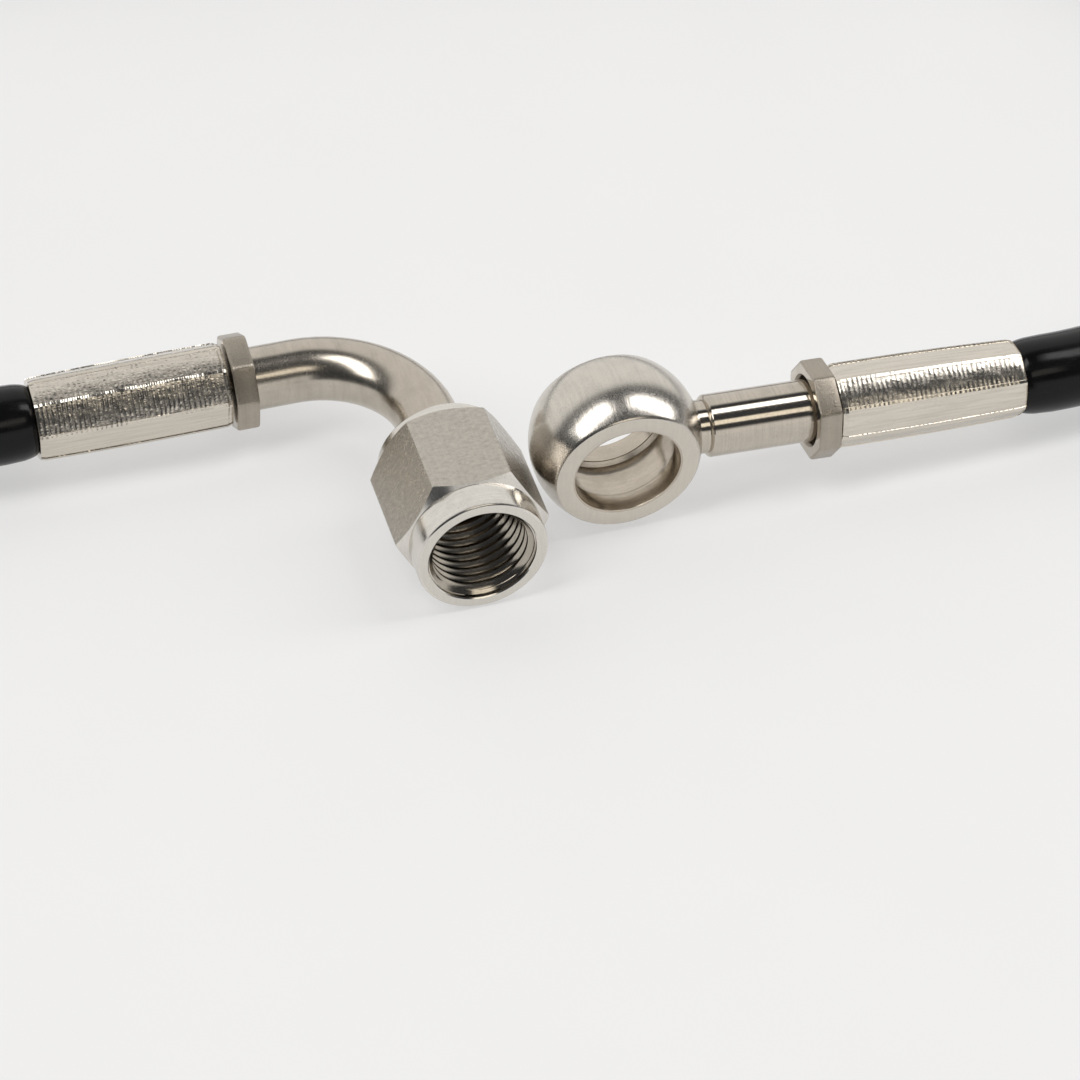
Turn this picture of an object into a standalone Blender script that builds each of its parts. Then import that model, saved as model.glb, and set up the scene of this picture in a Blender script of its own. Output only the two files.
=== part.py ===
"""Clutch line: a braided hose with a crimped fitting at each end, lying in one loop on a table.

One end carries a banjo eye on a straight neck. The other carries a bent steel tube with a swivel nut.
The part stands at the origin with +Z up and +X along the two crimped ferrules. The banjo eye and the
nut look towards -Y, and the hose runs round behind them.
"""

import math

import bmesh
import bpy
import numpy as np
from mathutils import Matrix, Vector

MM = 0.001

# Clearances between pieces
SEAT_GAP = 0.3 * MM
LAYER_GAP = 0.28 * MM
TURN_CLEARANCE = 0.27 * MM

# Banjo eye: a ball with two flat seats and a bore for the hollow bolt
BANJO_X = 5.724 * MM
BANJO_Y = -7.278 * MM
BALL_R = 8.12 * MM
SEAT_HALF_WIDTH = 4.28 * MM
BORE_R = 5.05 * MM
BORE_CHAMFER = 0.18 * MM
LAND_WIDTH = 2.0 * MM
GROOVE_DEPTH = 0.75 * MM
GROOVE_ROUNDING = 0.5 * MM
EYE_TILT = math.radians(4.9)
NECK_SLOPE = math.radians(2.76)

# Straight neck of the banjo fitting, measured from the middle of the eye
STUB_R = 2.55 * MM
NECK_START = 8.6 * MM
NECK_R = 2.97 * MM
NECK_CHAMFER = 0.25 * MM
BANJO_COLLAR_START = 18.7 * MM
NECK_PASSAGE_R = 1.1 * MM

# Eight-sided collar behind each crimped ferrule
COLLAR_CORNER_R = 4.82 * MM
COLLAR_LENGTH = 2.2 * MM
COLLAR_CHAMFER = 0.25 * MM
DISH_GAP = 0.33 * MM
DISH_DEPTH = 1.2 * MM

# Barbed tail that goes into the hose
TAIL_LENGTH = 16.4 * MM
BARB_R = 1.2 * MM
TAIL_ROOT_R = 1.05 * MM
TAIL_PASSAGE_R = 0.65 * MM
BARBS = 6
BARB_PITCH = 2.2 * MM

# Crimped ferrules
FERRULE_LENGTH = 18.5 * MM
FERRULE_END_WALL = 1.2 * MM
FERRULE_BORE_R = 3.14 * MM
FERRULE_EDGE = 0.22 * MM
BANJO_FERRULE_FLAT_AT_COLLAR = 3.8 * MM
BANJO_FERRULE_FLAT_AT_MOUTH = 3.52 * MM
BANJO_FERRULE_BARREL = 0.1 * MM
ELBOW_FERRULE_FLAT_AT_COLLAR = 3.9 * MM
ELBOW_FERRULE_FLAT_AT_MOUTH = 3.76 * MM
ELBOW_FERRULE_BARREL = 0.08 * MM
BANJO_RIDGE_ANGLE = math.radians(32.5)
ELBOW_RIDGE_ANGLE = math.radians(11.3)

# Swivel nut
ACROSS_FLATS = 12.7 * MM
NUT_CORNER_R = 7.28 * MM
NUT_FACE_Y = -17.338 * MM
NUT_LENGTH = 14.7 * MM
NOSE_BAND_R = 6.22 * MM
NOSE_BAND_LENGTH = 3.0 * MM
NOSE_BAND_EDGE = 0.12 * MM
CORNER_CHAMFER = math.radians(30)
REAR_SHOULDER_R = 5.7 * MM
REAR_SHOULDER_LENGTH = 0.9 * MM
NUT_MOUTH_R = 5.12 * MM
THREAD_R = 4.48 * MM
THREAD_START = 0.64 * MM
NUT_END_WALL = 2.6 * MM
TUBE_RUN_GAP = 0.32 * MM

# Bent tube and its cone
TUBE_R = 3.05 * MM
TUBE_PASSAGE_R = 1.5 * MM
BEND_R = 10.5 * MM
STRAIGHT_BEHIND_NUT = 4.75 * MM
STRAIGHT_TO_COLLAR = 4.2 * MM
CONE_SHOULDER_LENGTH = 0.88 * MM
CONE_TIP_R = 1.9 * MM
CONE_ANGLE = math.radians(37)
CONE_SHOULDER_R = 4.1 * MM
BEND_STEPS = 12

# Hose: cover, braid and liner, free and squeezed in a ferrule
HOSE_R = 3.75 * MM
HOSE_R_AT_MOUTH = 3.5 * MM
COVER_WALL = 0.55 * MM
BRAID_WALL = 0.37 * MM
LINER_WALL = 0.67 * MM
COVER_WALL_CRIMPED = 0.34 * MM
BRAID_WALL_CRIMPED = 0.22 * MM
LINER_WALL_CRIMPED = 0.26 * MM
MOUTH_TAPER = 0.5 * MM
SWELL_LENGTH = 2.0 * MM
LEAVING_LENGTH = 3.7 * MM
HOSE_POINT_SPACING = 15.5 * MM

# The free hose's own points in millimetres, from the elbow's ferrule round behind to the banjo's. The
# hose follows them as a thin strip of spring steel would, without sharp changes of bend.
HOSE_ROUTE_MM = (
    (-60.4, 14.1, 6.0),
    (-68.5, 18.6, 5.0),
    (-74.8, 25.5, 4.2),
    (-78.5, 34.4, 3.85),
    (-79.4, 46.2, 3.8),
    (-79.2, 59.0, 3.8),
    (-78.2, 70.5, 3.8),
    (-75.6, 79.7, 3.8),
    (-70.6, 87.6, 3.8),
    (-63.4, 93.5, 3.8),
    (-54.7, 97.0, 3.8),
    (-45.2, 98.4, 3.8),
    (-35.2, 98.2, 3.8),
    (-22.0, 96.0, 3.8),
    (-5.0, 92.3, 3.8),
    (12.0, 88.4, 3.8),
    (30.0, 84.4, 3.8),
    (46.6, 80.8, 3.8),
    (60.7, 77.6, 3.8),
    (70.9, 74.5, 3.8),
    (79.1, 69.5, 3.8),
    (85.4, 61.3, 3.8),
    (88.8, 50.2, 3.8),
    (89.7, 38.3, 3.8),
    (88.4, 28.3, 3.8),
    (85.6, 19.4, 3.8),
    (81.4, 11.1, 3.85),
    (75.7, 3.9, 4.1),
    (68.5, -1.9, 4.6),
    (60.2, -5.8, 5.3),
)

ROUND_STEPS = 40
EYE_STEPS = 56
SIDES = 8
SHARP_ANGLE = math.radians(30)
MERGE = 0.01 * MM


def clear_scene():
    for thing in list(bpy.data.objects):
        bpy.data.objects.remove(thing, do_unlink=True)


def make_collection(name):
    collection = bpy.data.collections.new(name)
    bpy.context.scene.collection.children.link(collection)
    return collection


def make_material(name, colour, metallic, roughness):
    material = bpy.data.materials.new(name)
    material.use_nodes = True
    shader = material.node_tree.nodes["Principled BSDF"]
    shader.inputs["Base Color"].default_value = (*colour, 1.0)
    shader.inputs["Metallic"].default_value = metallic
    shader.inputs["Roughness"].default_value = roughness
    return material


def place(origin, along, side):
    """A matrix at origin with local Z along one direction and local X towards another."""
    z_axis = Vector(along).normalized()
    y_axis = z_axis.cross(Vector(side)).normalized()
    x_axis = y_axis.cross(z_axis)
    matrix = Matrix((x_axis, y_axis, z_axis)).transposed().to_4x4()
    matrix.translation = origin
    return matrix


def turned(name, outline, matrix, steps=ROUND_STEPS, closed=False):
    """A solid turned about its local Z from (radius, height) points that run down the outer side."""
    mesh = bpy.data.meshes.new(name)
    edges = [(i, i + 1) for i in range(len(outline) - 1)]
    if closed:
        edges.append((len(outline) - 1, 0))
    mesh.from_pydata([(radius, 0.0, height) for radius, height in outline], edges, [])
    piece = bpy.data.objects.new(name, mesh)
    piece.matrix_world = matrix
    helpers.objects.link(piece)
    screw = piece.modifiers.new("Turn", "SCREW")
    screw.axis = "Z"
    screw.angle = math.tau
    screw.steps = steps
    screw.render_steps = steps
    screw.use_merge_vertices = True
    screw.merge_threshold = MERGE
    return piece


def drill(name, radius, low, high, matrix):
    """A round cutter about local Z between two heights."""
    cutter = turned(name, [(0.0, high), (radius, high), (radius, low), (0.0, low)], matrix)
    cutter.display_type = "WIRE"
    cutter.hide_render = True
    return cutter


def swept(name, points, radii, bevel_resolution=4):
    """A closed round tube through the points, as a mesh, with a radius at each point."""
    curve = bpy.data.curves.new(name, "CURVE")
    curve.dimensions = "3D"
    curve.twist_mode = "Z_UP"
    curve.bevel_depth = 1.0
    curve.bevel_resolution = bevel_resolution
    curve.use_fill_caps = True
    spline = curve.splines.new("POLY")
    spline.points.add(len(points) - 1)
    for point, place_on_line, radius in zip(spline.points, points, radii):
        point.co = (*place_on_line, 1.0)
        point.radius = radius
    guide = bpy.data.objects.new(name + "_line", curve)
    helpers.objects.link(guide)
    bpy.context.view_layer.update()
    depsgraph = bpy.context.evaluated_depsgraph_get()
    mesh = bpy.data.meshes.new_from_object(guide.evaluated_get(depsgraph))
    tube = bmesh.new()
    tube.from_mesh(mesh)
    bmesh.ops.remove_doubles(tube, verts=tube.verts, dist=MERGE)
    bmesh.ops.recalc_face_normals(tube, faces=tube.faces)
    tube.to_mesh(mesh)
    tube.free()
    piece = bpy.data.objects.new(name, mesh)
    piece.matrix_world = guide.matrix_world
    helpers.objects.link(piece)
    bpy.data.objects.remove(guide)
    return piece


def combine(piece, steps):
    """Apply joins and cuts in order, keep the result as the piece's own mesh and drop the helpers."""
    for operation, helper in steps:
        boolean = piece.modifiers.new(helper.name, "BOOLEAN")
        boolean.operation = operation
        boolean.solver = "EXACT"
        boolean.object = helper
    bpy.context.view_layer.update()
    depsgraph = bpy.context.evaluated_depsgraph_get()
    mesh = bpy.data.meshes.new_from_object(piece.evaluated_get(depsgraph))
    piece.modifiers.clear()
    piece.data = mesh
    for _, helper in steps:
        bpy.data.objects.remove(helper)


def finish(piece, name, material):
    """Name a finished piece, give it its material and soft shading, and file it with the part."""
    piece.name = name
    piece.data.name = name
    piece.data.materials.clear()
    piece.data.materials.append(material)
    piece.data.shade_smooth()
    piece.data.set_sharp_from_angle(angle=SHARP_ANGLE)
    for collection in list(piece.users_collection):
        collection.objects.unlink(piece)
    part.objects.link(piece)
    return piece


def ridge_side(angle):
    """The direction of a ferrule's ridge, turned from -Y up towards +Z."""
    return Vector((0.0, -math.cos(angle), math.sin(angle)))


def eye_outline():
    """Section of the banjo eye: ball outside, flat seats, and a grooved bore."""
    seat_angle = math.asin(SEAT_HALF_WIDTH / BALL_R)
    points = []
    count = 12
    for i in range(count + 1):
        angle = seat_angle - 2.0 * seat_angle * i / count
        points.append((BALL_R * math.cos(angle), BALL_R * math.sin(angle)))
    bore = [
        (BORE_R + BORE_CHAMFER, -SEAT_HALF_WIDTH),
        (BORE_R, -SEAT_HALF_WIDTH + BORE_CHAMFER),
    ]
    groove_r = BORE_R + GROOVE_DEPTH
    wall = SEAT_HALF_WIDTH - LAND_WIDTH
    arc = []
    for i in range(4):
        angle = math.pi / 2.0 * i / 3
        arc.append((
            groove_r - GROOVE_ROUNDING * (1.0 - math.sin(angle)),
            wall - GROOVE_ROUNDING * (1.0 - math.cos(angle)),
        ))
    bore.append((BORE_R, -wall))
    bore.extend((radius, -height) for radius, height in arc)
    bore.extend(reversed(arc))
    bore.append((BORE_R, wall))
    bore.append((BORE_R, SEAT_HALF_WIDTH - BORE_CHAMFER))
    bore.append((BORE_R + BORE_CHAMFER, SEAT_HALF_WIDTH))
    return points + bore


def tail_outline():
    """Outer side of the barbed tail, from its tip down to inside the collar."""
    tip = COLLAR_LENGTH + TAIL_LENGTH
    points = [(0.0, tip), (TAIL_ROOT_R, tip)]
    for i in range(BARBS):
        top = tip - i * BARB_PITCH
        points.append((BARB_R, top - 0.5 * BARB_PITCH))
        points.append((BARB_R, top - 0.7 * BARB_PITCH))
        points.append((TAIL_ROOT_R, top - BARB_PITCH))
    return points


def hose_collar(name, matrix):
    """The eight-sided collar, standing on its front face, with a round dish in that face."""
    corner = COLLAR_CORNER_R
    outline = [
        (0.0, COLLAR_LENGTH),
        (corner - COLLAR_CHAMFER, COLLAR_LENGTH),
        (corner, COLLAR_LENGTH - COLLAR_CHAMFER),
        (corner, COLLAR_CHAMFER),
        (corner - COLLAR_CHAMFER, 0.0),
        (0.0, 0.0),
    ]
    return turned(name, outline, matrix, steps=SIDES)


def make_banjo(material):
    centre = Vector((BANJO_X, BANJO_Y, BALL_R))
    along = Vector((math.cos(NECK_SLOPE), 0.0, -math.sin(NECK_SLOPE)))
    face = Vector((0.0, -math.cos(EYE_TILT), -math.sin(EYE_TILT)))
    face = (face - along * face.dot(along)).normalized()
    eye_matrix = place(centre, face, along)
    collar_origin = centre + along * BANJO_COLLAR_START
    end_matrix = place(collar_origin, along, ridge_side(BANJO_RIDGE_ANGLE))

    stem_foot = BORE_R + GROOVE_DEPTH + SEAT_GAP - BANJO_COLLAR_START
    neck_foot = NECK_START - BANJO_COLLAR_START
    stem = tail_outline()
    stem += [
        (TAIL_ROOT_R, 0.5 * (COLLAR_LENGTH + DISH_DEPTH)),
        (NECK_R, 0.5 * (COLLAR_LENGTH + DISH_DEPTH)),
        (NECK_R, neck_foot + NECK_CHAMFER),
        (NECK_R - NECK_CHAMFER, neck_foot),
        (STUB_R, neck_foot),
        (STUB_R, stem_foot),
        (0.0, stem_foot),
    ]
    dish = drill("banjo_dish", NECK_R + DISH_GAP, -COLLAR_LENGTH, DISH_DEPTH, end_matrix)
    passage_foot = 0.5 * (BORE_R + STUB_R) - BANJO_COLLAR_START
    steps = [
        ("DIFFERENCE", dish),
        ("UNION", turned("banjo_stem", stem, end_matrix)),
        ("UNION", turned("banjo_eye", eye_outline(), eye_matrix, steps=EYE_STEPS, closed=True)),
        ("DIFFERENCE", drill("neck_passage", NECK_PASSAGE_R, passage_foot, 0.0, end_matrix)),
        ("DIFFERENCE", drill(
            "tail_passage", TAIL_PASSAGE_R, -COLLAR_LENGTH, COLLAR_LENGTH + 2.0 * TAIL_LENGTH, end_matrix,
        )),
    ]
    piece = hose_collar("banjo", end_matrix)
    combine(piece, steps)
    finish(piece, "banjo_fitting", material)
    return end_matrix


def elbow_line():
    """Middle line of the bent tube, from inside the collar to inside the cone."""
    nut_height = 0.5 * ACROSS_FLATS
    bend_y = NUT_FACE_Y + NUT_LENGTH + STRAIGHT_BEHIND_NUT
    centre = Vector((nut_axis_x() - BEND_R, bend_y, nut_height))
    collar_face = centre.x - STRAIGHT_TO_COLLAR
    start_x = collar_face - 0.5 * (DISH_DEPTH + COLLAR_LENGTH)
    points = [Vector((start_x, bend_y + BEND_R, nut_height))]
    for i in range(BEND_STEPS + 1):
        angle = math.pi / 2.0 * (1.0 - i / BEND_STEPS)
        points.append(centre + Vector((math.cos(angle), math.sin(angle), 0.0)) * BEND_R)
    back, front, _ = cone_depths()
    points.append(Vector((nut_axis_x(), NUT_FACE_Y + 0.5 * (back + front), nut_height)))
    return points, Vector((collar_face, bend_y + BEND_R, nut_height))


def nut_axis_x():
    """The nut stands beside the eye, just far enough for its corners to pass when it turns."""
    reach = BALL_R + NUT_CORNER_R + TURN_CLEARANCE
    rise = BALL_R - 0.5 * ACROSS_FLATS
    return BANJO_X - math.sqrt(reach * reach - rise * rise)


def cone_depths():
    """How far the shoulder's back, its front and the cone's tip lie behind the nut's face."""
    back = NUT_LENGTH - NUT_END_WALL - SEAT_GAP
    front = back - CONE_SHOULDER_LENGTH
    tip = front - (CONE_SHOULDER_R - CONE_TIP_R) / math.tan(CONE_ANGLE)
    return back, front, tip


def nut_matrix():
    origin = Vector((nut_axis_x(), NUT_FACE_Y, 0.5 * ACROSS_FLATS))
    return place(origin, Vector((0.0, 1.0, 0.0)), Vector((1.0, 0.0, 0.0)))


def make_elbow(material):
    line, collar_origin = elbow_line()
    end_matrix = place(collar_origin, Vector((-1.0, 0.0, 0.0)), ridge_side(ELBOW_RIDGE_ANGLE))
    tube = swept("bent_tube", line, [TUBE_R] * len(line), bevel_resolution=10)

    tail = tail_outline()
    tail += [(TAIL_ROOT_R, DISH_DEPTH), (0.0, DISH_DEPTH)]
    shoulder_back, shoulder_front, tip = cone_depths()
    cone = [
        (0.0, shoulder_back),
        (CONE_SHOULDER_R, shoulder_back),
        (CONE_SHOULDER_R, shoulder_front),
        (CONE_TIP_R, tip),
        (0.0, tip),
    ]
    tube_start = line[0]
    inner = [tube_start] + line[1:-1] + [Vector((line[-1].x, NUT_FACE_Y, line[-1].z))]
    steps = [
        ("DIFFERENCE", drill("elbow_dish", TUBE_R + DISH_GAP, -COLLAR_LENGTH, DISH_DEPTH, end_matrix)),
        ("UNION", tube),
        ("UNION", turned("elbow_tail", tail, end_matrix)),
        ("UNION", turned("cone", cone, nut_matrix())),
        ("DIFFERENCE", swept("tube_passage", inner, [TUBE_PASSAGE_R] * len(inner), bevel_resolution=4)),
        ("DIFFERENCE", drill(
            "elbow_tail_passage", TAIL_PASSAGE_R, -COLLAR_LENGTH, COLLAR_LENGTH + 2.0 * TAIL_LENGTH, end_matrix,
        )),
    ]
    piece = hose_collar("elbow", end_matrix)
    combine(piece, steps)
    finish(piece, "elbow_fitting", material)
    return end_matrix


def make_ferrule(name, end_matrix, flat_at_collar, flat_at_mouth, barrel, material):
    """An eight-sided crimped ferrule: a cup over the hose end, with a hole for the tail in its end wall."""
    to_corner = 1.0 / math.cos(math.pi / SIDES)
    low = COLLAR_LENGTH + SEAT_GAP
    high = low + FERRULE_LENGTH
    bands = 6
    outline = [(0.0, high), ((flat_at_mouth - FERRULE_EDGE) * to_corner, high)]
    for i in range(bands + 1):
        share = i / bands
        flat = flat_at_mouth + (flat_at_collar - flat_at_mouth) * share + barrel * 4.0 * share * (1.0 - share)
        height = high - FERRULE_EDGE - (FERRULE_LENGTH - 2.0 * FERRULE_EDGE) * share
        outline.append((flat * to_corner, height))
    outline += [((flat_at_collar - FERRULE_EDGE) * to_corner, low), (0.0, low)]
    piece = turned(name, outline, end_matrix, steps=SIDES)
    combine(piece, [
        ("DIFFERENCE", drill(name + "_bore", FERRULE_BORE_R, low + FERRULE_END_WALL, high + COLLAR_LENGTH, end_matrix)),
        ("DIFFERENCE", drill(name + "_hole", TAIL_ROOT_R + SEAT_GAP, 0.0, high, end_matrix)),
    ])
    return finish(piece, name, material)


def make_nut(material):
    """A hexagon trimmed by a turned envelope, with a stepped socket and a hole for the tube."""
    matrix = nut_matrix()
    bpy.ops.mesh.primitive_cylinder_add(
        vertices=6,
        radius=0.5 * ACROSS_FLATS / math.cos(math.pi / 6.0),
        depth=NUT_LENGTH,
        location=(0.0, 0.0, 0.5 * NUT_LENGTH),
        rotation=(0.0, 0.0, math.radians(30)),
    )
    piece = bpy.context.active_object
    piece.data.transform(piece.matrix_basis)
    piece.matrix_world = matrix
    slope = math.tan(CORNER_CHAMFER)
    front = NOSE_BAND_LENGTH + (NUT_CORNER_R - NOSE_BAND_R) * slope
    rear = NUT_LENGTH - REAR_SHOULDER_LENGTH
    rear_r = 0.5 * ACROSS_FLATS - SEAT_GAP
    envelope = [
        (0.0, NUT_LENGTH),
        (REAR_SHOULDER_R, NUT_LENGTH),
        (REAR_SHOULDER_R, rear),
        (rear_r, rear),
        (NUT_CORNER_R, rear - (NUT_CORNER_R - rear_r) * slope),
        (NUT_CORNER_R, front),
        (NOSE_BAND_R, NOSE_BAND_LENGTH),
        (NOSE_BAND_R, NOSE_BAND_EDGE),
        (NOSE_BAND_R - NOSE_BAND_EDGE, 0.0),
        (0.0, 0.0),
    ]
    floor = NUT_LENGTH - NUT_END_WALL
    socket = [
        (0.0, floor),
        (THREAD_R, floor),
        (THREAD_R, THREAD_START),
        (NUT_MOUTH_R, 0.0),
        (NUT_MOUTH_R, -NUT_END_WALL),
        (0.0, -NUT_END_WALL),
    ]
    combine(piece, [
        ("INTERSECT", turned("nut_envelope", envelope, matrix, steps=48)),
        ("DIFFERENCE", turned("nut_socket", socket, matrix)),
        ("DIFFERENCE", drill("nut_hole", TUBE_R + TUBE_RUN_GAP, 0.0, NUT_LENGTH + NUT_END_WALL, matrix)),
    ])
    return finish(piece, "swivel_nut", material)


def smooth_line(points, spacing):
    """Evenly spaced points on a smooth curve from the first point to the last, led by those between."""
    given = [2.0 * points[0] - points[1], *points, 2.0 * points[-1] - points[-2]]
    fine = []
    for i in range(len(given) - 3):
        for t in np.linspace(0.0, 1.0, 40, endpoint=False):
            weights = ((1 - t) ** 3, 3 * t**3 - 6 * t**2 + 4, -3 * t**3 + 3 * t**2 + 3 * t + 1, t**3)
            fine.append(sum(weight * point for weight, point in zip(weights, given[i : i + 4])) / 6.0)
    fine.append(points[-1])
    fine = np.array(fine)
    run = np.concatenate(([0.0], np.cumsum(np.linalg.norm(np.diff(fine, axis=0), axis=1))))
    stations = np.linspace(0.0, run[-1], max(2, round(run[-1] / spacing)) + 1)
    return np.column_stack([np.interp(stations, run, fine[:, k]) for k in range(3)])


def hose_line(elbow_end, banjo_end):
    """The hose's middle line, with a letter for each point: c crimped, m at a mouth, f free."""
    inside = COLLAR_LENGTH + SEAT_GAP + FERRULE_END_WALL + SEAT_GAP
    mouth = COLLAR_LENGTH + SEAT_GAP + FERRULE_LENGTH

    def on_axis(end_matrix, height):
        return np.array(end_matrix @ Vector((0.0, 0.0, height)))

    free_points = [
        on_axis(elbow_end, mouth + SWELL_LENGTH),
        on_axis(elbow_end, mouth + SWELL_LENGTH + LEAVING_LENGTH),
        *(np.array(point) * MM for point in HOSE_ROUTE_MM),
        on_axis(banjo_end, mouth + SWELL_LENGTH + LEAVING_LENGTH),
        on_axis(banjo_end, mouth + SWELL_LENGTH),
    ]
    free = smooth_line(free_points, HOSE_POINT_SPACING)
    heights = ((inside, "c"), (mouth - MOUTH_TAPER, "c"), (mouth + MOUTH_TAPER, "m"))
    points = [(on_axis(elbow_end, height), kind) for height, kind in heights]
    points += [(point, "f") for point in free]
    points += [(on_axis(banjo_end, height), kind) for height, kind in reversed(heights)]
    return points


def make_hose(elbow_end, banjo_end, materials):
    """Three nested layers on one middle line, each squeezed where a ferrule grips it."""
    line = hose_line(elbow_end, banjo_end)
    places = [place_on_line for place_on_line, _ in line]
    free_r = HOSE_R
    mouth_r = HOSE_R_AT_MOUTH
    crimped_r = FERRULE_BORE_R - SEAT_GAP
    layers = (
        ("hose_cover", COVER_WALL, COVER_WALL_CRIMPED),
        ("hose_braid", BRAID_WALL, BRAID_WALL_CRIMPED),
        ("hose_liner", LINER_WALL, LINER_WALL_CRIMPED),
    )
    for name, wall, crimped_wall in layers:
        outer = {"f": free_r, "m": mouth_r, "c": crimped_r}
        inner = {"f": free_r - wall, "m": mouth_r - wall, "c": crimped_r - crimped_wall}
        piece = swept(name, places, [outer[kind] for _, kind in line])
        ends = [Vector(places[0]), Vector(places[-1])]
        out_ways = [(ends[0] - Vector(places[1])).normalized(), (ends[1] - Vector(places[-2])).normalized()]
        through = [ends[0] + out_ways[0] * SEAT_GAP, *places[1:-1], ends[1] + out_ways[1] * SEAT_GAP]
        core = swept(name + "_core", through, [inner[kind] for _, kind in line])
        combine(piece, [("DIFFERENCE", core)])
        finish(piece, name, materials[name])
        free_r = inner["f"] - LAYER_GAP
        mouth_r = inner["m"] - LAYER_GAP
        crimped_r = inner["c"] - LAYER_GAP


clear_scene()
part = make_collection("clutch_line")
helpers = make_collection("helpers")
steel = make_material("satin_steel", (0.55, 0.52, 0.47), 1.0, 0.35)
nut_steel = make_material("nut_steel", (0.50, 0.48, 0.45), 1.0, 0.42)
ferrule_steel = make_material("crimped_steel", (0.58, 0.56, 0.52), 1.0, 0.30)
hose_materials = {
    "hose_cover": make_material("black_cover", (0.012, 0.012, 0.013), 0.0, 0.18),
    "hose_braid": make_material("woven_steel", (0.60, 0.60, 0.60), 1.0, 0.40),
    "hose_liner": make_material("white_liner", (0.80, 0.80, 0.78), 0.0, 0.45),
}
banjo_end = make_banjo(steel)
elbow_end = make_elbow(steel)
make_ferrule(
    "banjo_ferrule", banjo_end, BANJO_FERRULE_FLAT_AT_COLLAR, BANJO_FERRULE_FLAT_AT_MOUTH,
    BANJO_FERRULE_BARREL, ferrule_steel,
)
make_ferrule(
    "elbow_ferrule", elbow_end, ELBOW_FERRULE_FLAT_AT_COLLAR, ELBOW_FERRULE_FLAT_AT_MOUTH,
    ELBOW_FERRULE_BARREL, ferrule_steel,
)
make_nut(nut_steel)
make_hose(elbow_end, banjo_end, hose_materials)
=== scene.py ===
# %% [markdown]
# # A clutch line on a white table
# A clutch line carries fluid under pressure from the pedal's cylinder to the one at the gearbox. It is a hose
# with a woven steel layer inside, and a steel fitting crimped on each end: a banjo eye for a hollow bolt, and
# a bent tube with a swivel nut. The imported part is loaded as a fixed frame, and every piece below is laid over it.

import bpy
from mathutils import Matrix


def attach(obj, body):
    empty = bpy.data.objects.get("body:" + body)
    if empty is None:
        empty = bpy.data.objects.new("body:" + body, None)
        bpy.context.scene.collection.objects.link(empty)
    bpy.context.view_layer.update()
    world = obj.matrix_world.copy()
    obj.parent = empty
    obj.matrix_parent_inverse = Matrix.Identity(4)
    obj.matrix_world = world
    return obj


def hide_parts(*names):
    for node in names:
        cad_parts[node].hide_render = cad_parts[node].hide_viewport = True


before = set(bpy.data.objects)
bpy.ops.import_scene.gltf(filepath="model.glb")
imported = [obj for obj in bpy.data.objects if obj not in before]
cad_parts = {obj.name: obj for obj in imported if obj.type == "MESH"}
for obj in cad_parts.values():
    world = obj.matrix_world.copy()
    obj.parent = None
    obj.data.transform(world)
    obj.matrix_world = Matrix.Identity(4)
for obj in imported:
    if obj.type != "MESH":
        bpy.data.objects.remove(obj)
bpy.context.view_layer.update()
print("packed nodes:", sorted(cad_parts))

# %% [markdown]
# Each piece is drawn in millimetres, standing along Z at the origin, because that is how a lathe or a drawing
# holds it. A matrix then sets it down in its place in metres, and its object stays at the origin unturned.

# %% Units and the way a piece is set down
import math

import bpy
import numpy as np
from mathutils import Matrix, Vector

MM = 0.001
EYE_TO_COLLAR = 18.7


def stand(origin_mm, along, side):
    """A matrix with local Z along one direction and local X towards another, at a point given in millimetres."""
    z_axis = Vector(along).normalized()
    y_axis = z_axis.cross(Vector(side)).normalized()
    x_axis = y_axis.cross(z_axis)
    matrix = Matrix((x_axis, y_axis, z_axis)).transposed().to_4x4()
    matrix.translation = Vector(origin_mm) * MM
    return matrix


def set_down(piece, matrix):
    """Move a mesh drawn in millimetres to its place in metres."""
    piece.data.transform(matrix @ Matrix.Scale(MM, 4))
    piece.data.update()
    return piece


def ridge_side(degrees):
    """The direction of a crimp ridge, turned from the front up towards the top."""
    angle = math.radians(degrees)
    return Vector((0.0, -math.cos(angle), math.sin(angle)))


eye_centre = Vector((5.724, -7.278, 8.12))
neck_way = Vector((0.99884, 0.0, -0.04815))
eye_face = Vector((-0.00411, -0.99635, -0.08522))
banjo_end = stand(eye_centre + EYE_TO_COLLAR * neck_way, neck_way, ridge_side(32.5))
eye_stand = stand(eye_centre, eye_face, neck_way)
elbow_end = stand((-24.5457, 12.612, 6.35), (-1.0, 0.0, 0.0), ridge_side(11.3))
nut_stand = stand((-9.8457, -17.338, 6.35), (0.0, 1.0, 0.0), (1.0, 0.0, 0.0))
print("banjo collar at", [round(v * 1000, 2) for v in banjo_end.translation], "mm")

# %% [markdown]
# The camera stands in front and to the left, well above the table, with a long lens. Its place was worked out
# from the ends of the edges in the picture, and it is set first so that everything is judged through it.

# %% Camera
eye = bpy.data.cameras.new("table_camera")
eye.sensor_width = 36.0
eye.lens = 147.3
camera = bpy.data.objects.new("table_camera", eye)
bpy.context.scene.collection.objects.link(camera)
camera.location = (-0.086668, -0.301050, 0.281071)
camera.rotation_euler = (math.radians(47.143), 0.0, math.radians(-16.157))
bpy.context.scene.camera = camera
print("camera", round(camera.location.length, 3), "m from the middle of the part")

# %% [markdown]
# The hose is one length with no slack to spare: it leaves one ferrule, runs round on the table and goes into
# the other. A free hose bends like a spring, so its middle line is a smooth spline that is led by points and
# doesn't have to touch them. Only its two ends show in the picture, and the rest lies outside the view.

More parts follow.
